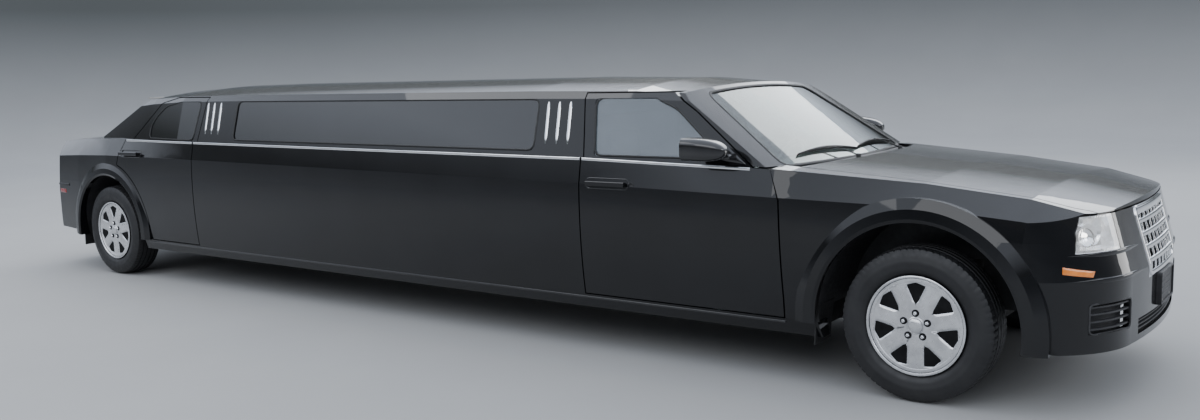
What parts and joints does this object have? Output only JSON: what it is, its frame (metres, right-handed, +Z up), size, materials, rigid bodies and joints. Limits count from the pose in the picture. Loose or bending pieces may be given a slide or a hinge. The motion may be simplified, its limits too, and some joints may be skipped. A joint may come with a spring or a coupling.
{
  "type": "stretch limousine",
  "caption": "Long black passenger car with hinged doors, bonnet and boot lid, steered front wheels and wheels that turn, a hollow cabin with a lounge, and a row of dark side windows.",
  "frame": {"origin": "on the ground under the middle of the car's length and width", "axes": "+X towards the front, +Y to the car's left, +Z up"},
  "size_m": [8.555, 2.104, 1.4828],
  "materials": {
    "body_paint": "gloss",
    "black_trim": "matte",
    "tinted_glass": "gloss",
    "clear_glass": "gloss",
    "bright_chrome": "polished",
    "alloy_silver": "satin",
    "tyre_black": "matte",
    "chassis_steel": "satin",
    "cast_metal": "rough",
    "seat_leather": "satin",
    "interior_trim": "matte",
    "dark_wood": "gloss",
    "clear_lens": "gloss",
    "lamp_reflector": "polished",
    "red_lens": "gloss"
  },
  "bodies": {
    "car_body": {"windscreen": "clear_glass", "rear_window": "tinted_glass", "roof_panel": "body_paint", "side_panels": "body_paint", "side_windows": "tinted_glass", "fire_wall": "chassis_steel", "headlamps": "lamp_reflector", "headlamp_lenses": "clear_lens", "tail_lamps": "red_lens", "front_bumper": "body_paint", "rear_bumper": "body_paint", "grille": "bright_chrome", "front_wings": "body_paint", "cowl_panel": "black_trim", "rear_quarters": "body_paint", "sills": "body_paint", "floor_pan": "chassis_steel", "front_wheelhouses": "black_trim", "rear_wheelhouses": "black_trim", "front_subframe": "chassis_steel", "rear_subframe": "chassis_steel", "engine_block": "cast_metal", "radiator": "cast_metal", "exhaust": "chassis_steel", "fuel_tank": "black_trim", "front_seats": "seat_leather", "partition": "interior_trim", "lounge_seats": "seat_leather", "bar_cabinet": "dark_wood", "dashboard": "black_trim", "plate_bracket": "black_trim"},
    "front_door_right": {"front_door_right": "body_paint", "front_door_glass_right": "tinted_glass", "mirror_right": "body_paint"},
    "front_door_left": {"front_door_left": "body_paint", "front_door_glass_left": "tinted_glass", "mirror_left": "body_paint"},
    "rear_door_right": {"rear_door_right": "body_paint", "rear_door_glass_right": "tinted_glass"},
    "rear_door_left": {"rear_door_left": "body_paint", "rear_door_glass_left": "tinted_glass"},
    "bonnet": {"bonnet": "body_paint"},
    "boot_lid": {"boot_lid": "body_paint"},
    "knuckle_right": {"knuckle_right": "cast_metal"},
    "knuckle_left": {"knuckle_left": "cast_metal"},
    "front_wheel_right": {"front_rim_right": "alloy_silver", "front_tyre_right": "tyre_black"},
    "front_wheel_left": {"front_rim_left": "alloy_silver", "front_tyre_left": "tyre_black"},
    "rear_wheel_right": {"rear_rim_right": "alloy_silver", "rear_tyre_right": "tyre_black"},
    "rear_wheel_left": {"rear_rim_left": "alloy_silver", "rear_tyre_left": "tyre_black"}
  },
  "joints": [
    {"name": "front_door_right_hinge", "type": "hinge", "parent": "car_body", "child": "front_door_right", "pos_m": [2.7245, -0.911, 0.7], "axis": [0, 0, 1], "range_deg": [0, 65]},
    {"name": "front_door_left_hinge", "type": "hinge", "parent": "car_body", "child": "front_door_left", "pos_m": [2.7245, 0.911, 0.7], "axis": [0, 0, -1], "range_deg": [0, 65]},
    {"name": "rear_door_right_hinge", "type": "hinge", "parent": "car_body", "child": "rear_door_right", "pos_m": [-2.0655, -0.911, 0.7], "axis": [0, 0, 1], "range_deg": [0, 65]},
    {"name": "rear_door_left_hinge", "type": "hinge", "parent": "car_body", "child": "rear_door_left", "pos_m": [-2.0655, 0.911, 0.7], "axis": [0, 0, -1], "range_deg": [0, 65]},
    {"name": "bonnet_hinge", "type": "hinge", "parent": "car_body", "child": "bonnet", "pos_m": [2.7265, 0, 0.98], "axis": [0, -1, 0], "range_deg": [0, 55]},
    {"name": "boot_lid_hinge", "type": "hinge", "parent": "car_body", "child": "boot_lid", "pos_m": [-3.5025, 0, 1.018], "axis": [0, 1, 0], "range_deg": [0, 75]},
    {"name": "steer_right", "type": "hinge", "parent": "car_body", "child": "knuckle_right", "pos_m": [3.4065, -0.716, 0.3555], "axis": [0, 0, 1], "range_deg": [-30, 30]},
    {"name": "steer_left", "type": "hinge", "parent": "car_body", "child": "knuckle_left", "pos_m": [3.4065, 0.716, 0.3555], "axis": [0, 0, 1], "range_deg": [-30, 30]},
    {"name": "front_wheel_right_spin", "type": "hinge", "parent": "knuckle_right", "child": "front_wheel_right", "pos_m": [3.4065, -0.8, 0.3555], "axis": [0, 1, 0], "continuous": true},
    {"name": "front_wheel_left_spin", "type": "hinge", "parent": "knuckle_left", "child": "front_wheel_left", "pos_m": [3.4065, 0.8, 0.3555], "axis": [0, 1, 0], "continuous": true},
    {"name": "rear_wheel_right_spin", "type": "hinge", "parent": "car_body", "child": "rear_wheel_right", "pos_m": [-3.1975, -0.8, 0.3555], "axis": [0, 1, 0], "continuous": true},
    {"name": "rear_wheel_left_spin", "type": "hinge", "parent": "car_body", "child": "rear_wheel_left", "pos_m": [-3.1975, 0.8, 0.3555], "axis": [0, 1, 0], "continuous": true}
  ]
}
